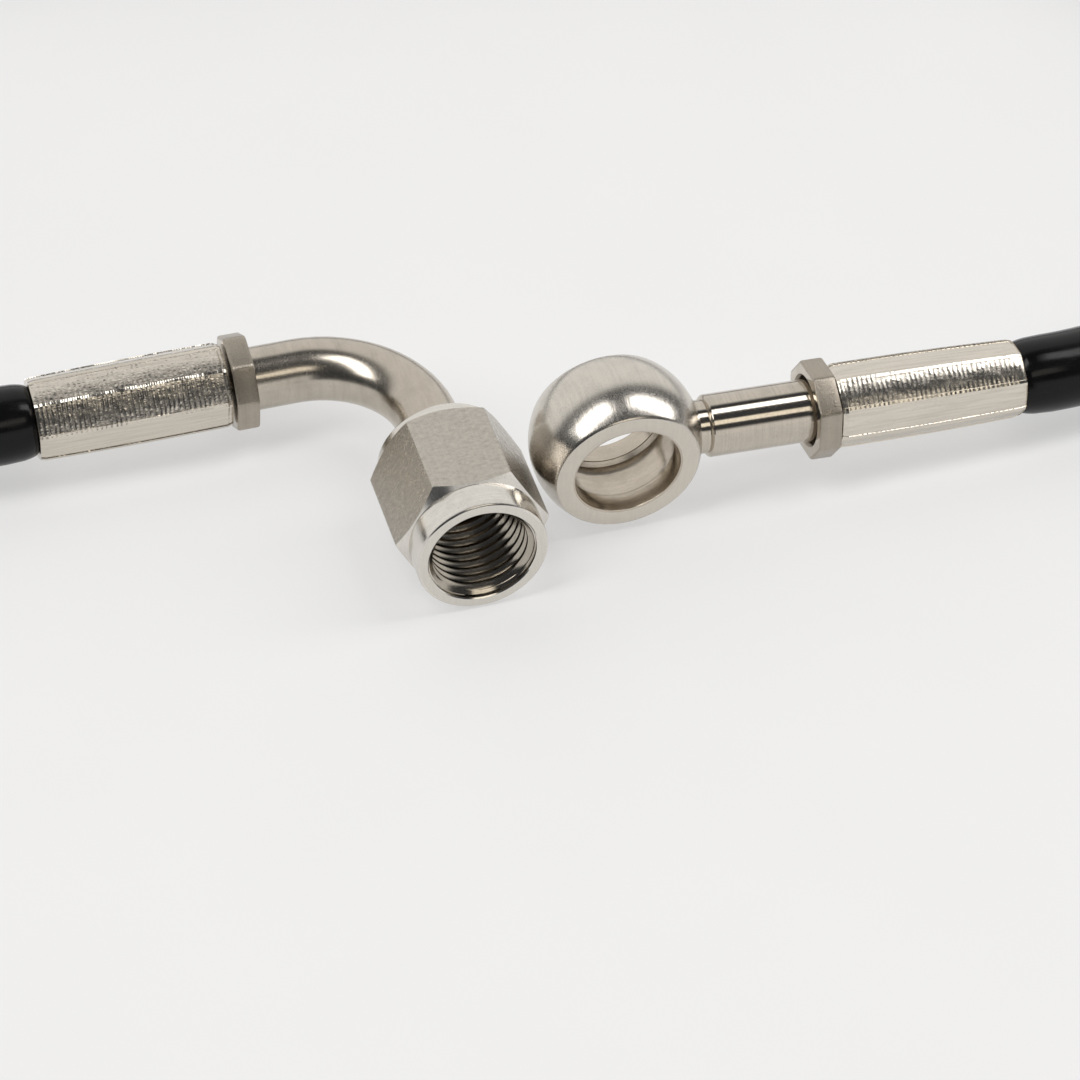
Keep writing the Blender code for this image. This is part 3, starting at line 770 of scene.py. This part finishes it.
def turned_steel(name, matrix, tint, rough, ring_depth, grain_depth, rings_per_mm=7.0, spread=0.5):
    finish, tree, shader = new_finish(name)
    space = piece_space(tree, matrix)
    rings = noise(tree, stretched(tree, space, 0.16, 0.16, rings_per_mm), 1.0, 4.0, 0.62)
    grain = noise(tree, stretched(tree, space, 1.0, 1.0, 2.2), 6.0, 4.0, 0.6)
    cloud = noise(tree, space, 0.55, 3.0, 0.5)
    light = tuple(min(1.0, channel * 1.04) for channel in tint)
    dark = tuple(channel * 0.93 for channel in tint)
    tone = ramp(tree, cloud, (0.3, dark), (0.5, tint), (0.72, light))
    speck = ramp(tree, grain, (0.28, 0.72), (0.46, 1.0))
    stripe = ramp(tree, rings, (0.3, 0.86), (0.6, 1.0))
    colour = blend_colours(tree, "MULTIPLY", 0.6, tone, speck)
    colour = blend_colours(tree, "MULTIPLY", 0.75, colour, stripe)
    tree.links.new(colour, shader.inputs["Base Color"])
    tree.links.new(shape_range(tree, grain, 0.3, 0.7, rough + 0.07, rough - 0.05), shader.inputs["Roughness"])
    bumps = raised(tree, rings, ring_depth)
    bumps = raised(tree, grain, grain_depth, bumps)
    tree.links.new(bumps, shader.inputs["Normal"])
    shader.inputs["Metallic"].default_value = 1.0
    shader.inputs["Anisotropic"].default_value = spread
    shader.inputs["Anisotropic Rotation"].default_value = 0.25
    geometry = tree.nodes.new("ShaderNodeNewGeometry")
    around = tree.nodes.new("ShaderNodeVectorMath")
    around.operation = "CROSS_PRODUCT"
    around.inputs[1].default_value = matrix.to_3x3() @ Vector((0.0, 0.0, 1.0))
    tree.links.new(geometry.outputs["Normal"], around.inputs[0])
    tree.links.new(around.outputs["Vector"], shader.inputs["Tangent"])
    return finish


WARM_STEEL = (0.66, 0.62, 0.56)
ball_finish = turned_steel("satin_steel_ball", banjo_end, WARM_STEEL, 0.23, 0.014, 0.003, 3.0, 0.35)
neck_finish = turned_steel("satin_steel_neck", banjo_end, (0.56, 0.51, 0.44), 0.13, 0.001, 0.001, 7.0, 0.6)
bore_finish = turned_steel("bored_steel", eye_stand, (0.56, 0.5, 0.42), 0.2, 0.03, 0.001, 1.1, 0.5)
collar_finish = turned_steel("collar_steel", banjo_end, (0.42, 0.375, 0.315), 0.3, 0.012, 0.03, 3.0, 0.3)
tube_finish = turned_steel("bent_tube_steel", elbow_end, (0.54, 0.49, 0.42), 0.22, 0.001, 0.0012, 2.0, 0.2)
cone_finish = turned_steel("cone_steel", nut_stand, (0.55, 0.46, 0.36), 0.3, 0.004, 0.004, 5.0, 0.4)

# %% [markdown]
# The milled seats of the eye are the flattest and dullest faces: they were faced and lightly blasted, so they
# show an even, warm grey with a fine grain. The nut's face ring is the same, with faint facing marks.

# %% Faced seats


def faced_steel(name, matrix, tint, rough):
    finish, tree, shader = new_finish(name)
    space = piece_space(tree, matrix)
    grain = noise(tree, space, 9.0, 4.0, 0.6)
    sweep = noise(tree, stretched(tree, space, 3.5, 0.35, 1.0), 1.0, 3.0, 0.5)
    tone = ramp(tree, sweep, (0.3, tuple(c * 0.95 for c in tint)), (0.7, tint))
    speck = ramp(tree, grain, (0.25, 0.84), (0.42, 1.0))
    tree.links.new(blend_colours(tree, "MULTIPLY", 0.7, tone, speck), shader.inputs["Base Color"])
    tree.links.new(shape_range(tree, grain, 0.3, 0.7, rough + 0.06, rough - 0.04), shader.inputs["Roughness"])
    tree.links.new(raised(tree, grain, 0.004, raised(tree, sweep, 0.002)), shader.inputs["Normal"])
    shader.inputs["Metallic"].default_value = 1.0
    return finish


seat_finish = faced_steel("seat_steel", eye_stand, (0.68, 0.635, 0.565), 0.42)
BALL_EDGE = 8.2 * MM
eye_mid = eye_stand.translation
face_way = eye_face.normalized()
neck_unit = neck_way.normalized()


def from_bore(centre):
    offset = centre - eye_mid
    return (offset - face_way * offset.dot(face_way)).length / MM


def off_middle_plane(centre):
    return abs((centre - eye_mid).dot(face_way))


def along_neck(centre):
    return (centre - eye_mid).dot(neck_unit) / MM


def from_neck_axis(centre):
    return (centre - eye_mid - neck_unit * (centre - eye_mid).dot(neck_unit)).length


def on_neck(centre, normal):
    return along_neck(centre) > 8.0 and from_bore(centre) > 7.4 and (centre - eye_mid).length > BALL_EDGE


def in_bore(centre, normal):
    return from_bore(centre) < 5.95 and off_middle_plane(centre) < 4.27 * MM


def on_seat(centre, normal):
    faces_out = abs(normal.dot(face_way)) > 0.99
    return faces_out and (centre - eye_mid).length < BALL_EDGE and off_middle_plane(centre) > 4.2 * MM


def on_banjo_collar(centre, normal):
    return along_neck(centre) > 18.5 and from_neck_axis(centre) > 3.05 * MM


give(banjo_body, ball_finish)
paint(banjo_body, neck_finish, on_neck)
paint(banjo_body, bore_finish, in_bore)
paint(banjo_body, seat_finish, on_seat)
paint(banjo_body, collar_finish, on_banjo_collar)

collar_mid = elbow_end.translation


def on_elbow_collar(centre, normal):
    off_axis = math.hypot(centre.y - collar_mid.y, centre.z - collar_mid.z)
    return centre.x < collar_mid.x + 0.2 * MM and off_axis > 3.1 * MM


def in_nut(centre, normal):
    return centre.y < -0.0053


give(elbow_body, tube_finish)
collar_finish_elbow = turned_steel(
    "collar_steel_elbow", elbow_end, (0.42, 0.375, 0.315), 0.3, 0.012, 0.03, 3.0, 0.3,
)
paint(elbow_body, collar_finish_elbow, on_elbow_collar)
paint(elbow_body, cone_finish, in_nut)

# %% [markdown]
# The crimped ferrules took their finish from the dies. Each flat carries chatter marks across it, like tiny
# steps half a millimetre apart, and small dents, while the ridges between are burnished bright. The marks are a
# wave along the ferrule's axis that comes and goes in patches, with rounder dents, and both catch the lamps.

# %% Crimped steel


def crimped_steel(name, matrix, tint, chatter_depth, dent_depth, rough):
    finish, tree, shader = new_finish(name)
    space = piece_space(tree, matrix)
    steps = tree.nodes.new("ShaderNodeTexWave")
    steps.bands_direction = "Z"
    steps.inputs["Scale"].default_value = 0.66
    steps.inputs["Distortion"].default_value = 2.2
    steps.inputs["Detail"].default_value = 3.0
    steps.inputs["Detail Scale"].default_value = 1.4
    tree.links.new(stretched(tree, space, 0.6, 0.6, 1.0), steps.inputs["Vector"])
    patches = noise(tree, stretched(tree, space, 1.0, 1.0, 0.6), 0.9, 3.0, 0.6)
    patches = ramp(tree, patches, (0.35, 0.15), (0.62, 1.0))
    chatter = blend_colours(tree, "MULTIPLY", 1.0, steps.outputs["Color"], patches)
    dents = noise(tree, stretched(tree, space, 1.0, 1.0, 0.8), 1.6, 3.0, 0.55, 0.3)
    grain = noise(tree, space, 7.0, 3.0, 0.6)
    streaks = noise(tree, stretched(tree, space, 4.0, 4.0, 0.2), 1.0, 3.0, 0.5)
    tone = ramp(tree, streaks, (0.3, tuple(c * 0.86 for c in tint)), (0.62, tint))
    speck = ramp(tree, grain, (0.26, 0.78), (0.44, 1.0))
    tree.links.new(blend_colours(tree, "MULTIPLY", 0.6, tone, speck), shader.inputs["Base Color"])
    tree.links.new(shape_range(tree, dents, 0.3, 0.7, rough + 0.08, rough - 0.06), shader.inputs["Roughness"])
    bumps = raised(tree, chatter, chatter_depth)
    bumps = raised(tree, dents, dent_depth, bumps)
    bumps = raised(tree, grain, 0.002, bumps)
    tree.links.new(bumps, shader.inputs["Normal"])
    shader.inputs["Metallic"].default_value = 1.0
    return finish


give(banjo_sleeve, crimped_steel("crimped_steel_banjo", banjo_end, (0.7, 0.65, 0.575), 0.015, 0.014, 0.2))
give(elbow_sleeve, crimped_steel("crimped_steel_elbow", elbow_end, (0.68, 0.63, 0.555), 0.036, 0.008, 0.19))

# %% [markdown]
# The flats of the nut keep the skin of the drawn bar: a mottled grain with faint lines along the nut, greyer
# than the turned parts. The nose and chamfers were turned and shine. The thread is cut bright, but its colour
# is painted darker, as painted shade for the dark socket it sits in.

# %% Nut steel


def drawn_steel(name, matrix, tint, rough):
    finish, tree, shader = new_finish(name)
    space = piece_space(tree, matrix)
    mottle = noise(tree, stretched(tree, space, 0.6, 0.6, 1.0), 2.6, 5.0, 0.72)
    lines = noise(tree, stretched(tree, space, 5.0, 5.0, 0.12), 1.0, 3.0, 0.6)
    pits = noise(tree, space, 10.0, 3.0, 0.65)
    dark, light = (tuple(channel * share for channel in tint) for share in (0.8, 1.12))
    tone = ramp(tree, mottle, (0.3, dark), (0.5, tint), (0.7, light))
    stripe = ramp(tree, lines, (0.32, 0.93), (0.6, 1.0))
    speck = ramp(tree, pits, (0.28, 0.66), (0.4, 1.0))
    colour = blend_colours(tree, "MULTIPLY", 0.8, tone, stripe)
    colour = blend_colours(tree, "MULTIPLY", 0.7, colour, speck)
    tree.links.new(colour, shader.inputs["Base Color"])
    tree.links.new(shape_range(tree, mottle, 0.3, 0.7, rough + 0.08, rough - 0.05), shader.inputs["Roughness"])
    bumps = raised(tree, mottle, 0.012)
    bumps = raised(tree, lines, 0.001, bumps)
    bumps = raised(tree, pits, 0.005, bumps)
    tree.links.new(bumps, shader.inputs["Normal"])
    shader.inputs["Metallic"].default_value = 1.0
    return finish


flats_finish = drawn_steel("nut_steel_flats", nut_stand, (0.5, 0.465, 0.415), 0.27)
ring_finish = faced_steel("nut_face_steel", nut_stand, (0.72, 0.69, 0.63), 0.3)
# The thread's dark tint is painted shade for the socket it sits in, not the colour of the cut steel.
thread_finish = turned_steel("thread_steel", nut_stand, (0.46, 0.42, 0.36), 0.16, 0.003, 0.001, 6.0, 0.2)
nut_mid = nut_stand.translation


def from_nut_axis(centre):
    return math.hypot(centre.x - nut_mid.x, centre.z - nut_mid.z) / MM


def behind_face(centre):
    return (centre.y - nut_mid.y) / MM


def on_flats(centre, normal):
    plane_out = abs(centre.x - nut_mid.x) * abs(normal.x) + abs(centre.z - nut_mid.z) * abs(normal.z)
    in_place = from_nut_axis(centre) > 6.25 and 3.0 < behind_face(centre) < 14.0
    return abs(normal.y) < 0.02 and in_place and plane_out > 6.3 * MM


def on_face_ring(centre, normal):
    return normal.y < -0.99 and behind_face(centre) < 0.05


def in_socket(centre, normal):
    return from_nut_axis(centre) < 5.3 and 0.08 < behind_face(centre) < 14.0


give(nut_body, turned_steel("nut_steel_turned", nut_stand, (0.74, 0.71, 0.66), 0.17, 0.004, 0.001, 4.0, 0.5))
paint(nut_body, flats_finish, on_flats)
paint(nut_body, ring_finish, on_face_ring)
paint(nut_body, thread_finish, in_socket)

# %% [markdown]
# The cover is drawn plastic, black and glossy, with faint lengthwise lines from the die and a few dull scuffs
# where it has been handled. Under it lie a woven steel braid and a white liner, which show only if it is cut.

# %% Hose cover


def along_and_round(tree):
    node = tree.nodes.new("ShaderNodeUVMap")
    node.uv_map = "along_and_round"
    return node.outputs["UV"]


cover, tree, shader = new_finish("black_cover")
uv = along_and_round(tree)
lines = noise(tree, stretched(tree, uv, 0.02, 1.6, 1.0), 1.0, 3.0, 0.5)
scuffs = noise(tree, stretched(tree, uv, 0.5, 0.8, 1.0), 0.5, 5.0, 0.65)
fine = noise(tree, uv, 5.0, 2.0, 0.6)
blacks = ((0.35, (0.004, 0.004, 0.0045)), (0.62, (0.006, 0.006, 0.0065)), (0.78, (0.016, 0.016, 0.017)))
tree.links.new(ramp(tree, scuffs, *blacks), shader.inputs["Base Color"])
tree.links.new(shape_range(tree, scuffs, 0.4, 0.75, 0.14, 0.3), shader.inputs["Roughness"])
tree.links.new(raised(tree, fine, 0.001, raised(tree, lines, 0.012)), shader.inputs["Normal"])
shader.inputs["Metallic"].default_value = 0.0
shader.inputs["Specular IOR Level"].default_value = 0.2
give(hose_skin, cover)

# %% Braid and liner
braid, tree, shader = new_finish("woven_steel")
uv = along_and_round(tree)
waves = []
for way in (1.0, -1.0):
    wave = tree.nodes.new("ShaderNodeTexWave")
    wave.inputs["Scale"].default_value = 0.55
    turn = tree.nodes.new("ShaderNodeMapping")
    turn.inputs["Rotation"].default_value = (0.0, 0.0, way * math.radians(54.7))
    tree.links.new(uv, turn.inputs["Vector"])
    tree.links.new(turn.outputs["Vector"], wave.inputs["Vector"])
    waves.append(wave.outputs["Color"])
weave = blend_colours(tree, "LIGHTEN", 1.0, waves[0], waves[1])
# The dark between the crossing wires is painted shade in the gaps of the weave.
tree.links.new(ramp(tree, weave, (0.2, (0.16, 0.16, 0.16)), (0.8, (0.66, 0.66, 0.65))), shader.inputs["Base Color"])
tree.links.new(shape_range(tree, weave, 0.0, 1.0, 0.5, 0.28), shader.inputs["Roughness"])
tree.links.new(raised(tree, weave, 0.12), shader.inputs["Normal"])
shader.inputs["Metallic"].default_value = 1.0
give(hose_weave, braid)

liner, tree, shader = new_finish("white_liner")
uv = along_and_round(tree)
haze = noise(tree, uv, 0.6, 3.0, 0.5)
tree.links.new(ramp(tree, haze, (0.3, (0.72, 0.72, 0.69)), (0.7, (0.82, 0.82, 0.8))), shader.inputs["Base Color"])
tree.links.new(shape_range(tree, haze, 0.3, 0.7, 0.5, 0.4), shader.inputs["Roughness"])
tree.links.new(raised(tree, haze, 0.01), shader.inputs["Normal"])
give(hose_core, liner)

# %% [markdown]
# The table is a matt white board, nearly as bright as the page. To the camera, and in the metal, half of its
# brightness is its own glow, which keeps it pale and its shadows faint, while the part gets only the light of a
# plain board. Far off, where the lamps don't reach, it glows more, so that no dark horizon shows in the metal.

# %% Table
bpy.ops.object.select_all(action="DESELECT")
bpy.ops.mesh.primitive_plane_add(size=8.0, location=(0.0, 0.0, 0.0))
table = bpy.context.active_object
table.name = "table"
board, tree, shader = new_finish("white_board")
coordinates = tree.nodes.new("ShaderNodeTexCoord")
paper = noise(tree, coordinates.outputs["Object"], 60.0, 4.0, 0.5)
tree.links.new(ramp(tree, paper, (0.3, (0.88, 0.878, 0.874)), (0.7, (0.9, 0.898, 0.894))), shader.inputs["Base Color"])
shader.inputs["Roughness"].default_value = 0.75
shader.inputs["Specular IOR Level"].default_value = 0.2
glow = tree.nodes.new("ShaderNodeEmission")
glow.inputs["Color"].default_value = (0.93, 0.93, 0.93, 1.0)
rays = tree.nodes.new("ShaderNodeLightPath")
seen = rays.outputs["Is Camera Ray"]
for kind in ("Is Glossy Ray", "Is Transmission Ray"):
    either = tree.nodes.new("ShaderNodeMath")
    either.operation = "MAXIMUM"
    tree.links.new(seen, either.inputs[0])
    tree.links.new(rays.outputs[kind], either.inputs[1])
    seen = either.outputs["Value"]
from_part = tree.nodes.new("ShaderNodeVectorMath")
from_part.operation = "LENGTH"
tree.links.new(coordinates.outputs["Object"], from_part.inputs[0])
share = tree.nodes.new("ShaderNodeMath")
share.operation = "MULTIPLY"
tree.links.new(seen, share.inputs[0])
tree.links.new(shape_range(tree, from_part.outputs["Value"], 0.25, 1.0, 0.5, 0.9), share.inputs[1])
mixed = tree.nodes.new("ShaderNodeMixShader")
tree.links.new(share.outputs["Value"], mixed.inputs[0])
tree.links.new(shader.outputs["BSDF"], mixed.inputs[1])
tree.links.new(glow.outputs["Emission"], mixed.inputs[2])
tree.links.new(mixed.outputs["Shader"], tree.nodes["Material Output"].inputs["Surface"])
give(table, board)
print("table", round(table.dimensions.x, 1), "m wide")

# %% [markdown]
# Polished metal shows the room, so the room is drawn as the picture's own reflections ask: a pale backdrop behind,
# a strip of pale table low in front, dimness everywhere else, and three lamps. A long lamp stands on the right, one
# leans over from the left, and a weak warm one is in front. The world's colour depends only on direction, so the
# backdrop is all that lies far enough behind, and the strip is all that lies low enough in front and not to the left.

# %% Room
room = bpy.data.worlds.new("studio")
bpy.context.scene.world = room
room.use_nodes = True
tree = room.node_tree
sky = tree.nodes["Background"]
coordinates = tree.nodes.new("ShaderNodeTexCoord")


def reach(direction, offset):
    """How far a direction of the room reaches along another one, past an offset."""
    dot = tree.nodes.new("ShaderNodeVectorMath")
    dot.operation = "DOT_PRODUCT"
    dot.inputs[1].default_value = direction
    tree.links.new(coordinates.outputs["Generated"], dot.inputs[0])
    past = tree.nodes.new("ShaderNodeMath")
    past.operation = "SUBTRACT"
    past.inputs[1].default_value = offset
    tree.links.new(dot.outputs["Value"], past.inputs[0])
    return past.outputs["Value"]


strip = tree.nodes.new("ShaderNodeMath")
strip.operation = "MINIMUM"
tree.links.new(reach((0.0, -0.32, -1.0), 0.0), strip.inputs[0])
tree.links.new(reach((1.0, 0.0, 0.0), -0.1), strip.inputs[1])
larger = tree.nodes.new("ShaderNodeMath")
larger.operation = "MAXIMUM"
tree.links.new(reach((-0.07, 1.0, 0.0), 0.4), larger.inputs[0])
tree.links.new(strip.outputs["Value"], larger.inputs[1])
pale = shape_range(tree, larger.outputs["Value"], -0.08, 0.06, 0.0, 1.0)
tree.links.new(ramp(tree, pale, (0.0, (0.05, 0.053, 0.058)), (1.0, (0.93, 0.92, 0.9))), sky.inputs["Color"])
sky.inputs["Strength"].default_value = 1.0


def lamp(name, azimuth, elevation, wide, tall, power, colour):
    """A soft rectangular lamp one metre away, looking at the part. Azimuth 0 is the front, positive to the right."""
    light = bpy.data.lights.new(name, "AREA")
    light.shape = "RECTANGLE"
    light.size = wide
    light.size_y = tall
    light.energy = power
    light.color = colour
    holder = bpy.data.objects.new(name, light)
    bpy.context.scene.collection.objects.link(holder)
    a = math.radians(azimuth)
    e = math.radians(elevation)
    way = Vector((math.sin(a) * math.cos(e), -math.cos(a) * math.cos(e), math.sin(e)))
    holder.location = way
    holder.rotation_euler = way.to_track_quat("Z", "Y").to_euler()
    return holder


lamp("lamp_right", 87.0, 45.0, 0.3, 1.0, 4.2, (1.0, 0.99, 0.98))
lamp("lamp_left", -77.0, 56.0, 0.32, 0.95, 4.3, (1.0, 0.99, 0.975))
lamp("lamp_front", 12.0, 44.0, 0.6, 0.25, 0.75, (1.0, 0.93, 0.8))
print("lamps:", [light.name for light in bpy.data.lights])

# %% [markdown]
# At the end each piece is tied to the body that carries it and stands in for its solid, which is hidden. The
# hose's length, with its ends in the ferrules, is printed.

# %% Bodies, solids and the hose
bpy.context.scene.view_settings.view_transform = "Standard"
for piece, body, node, slot in (
    (banjo_body, "line", "banjo_fitting", "satin_steel"),
    (elbow_body, "line", "elbow_fitting", "satin_steel"),
    (banjo_sleeve, "line", "banjo_ferrule", "crimped_steel"),
    (elbow_sleeve, "line", "elbow_ferrule", "crimped_steel"),
    (nut_body, "nut", "swivel_nut", "nut_steel"),
    (hose_skin, "line", "hose_cover", "black_cover"),
    (hose_weave, "line", "hose_braid", "woven_steel"),
    (hose_core, "line", "hose_liner", "white_liner"),
):
    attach(piece, body)
    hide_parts(node)
print("hose", round(float(run[-1]), 1), "mm with its ends in the ferrules")
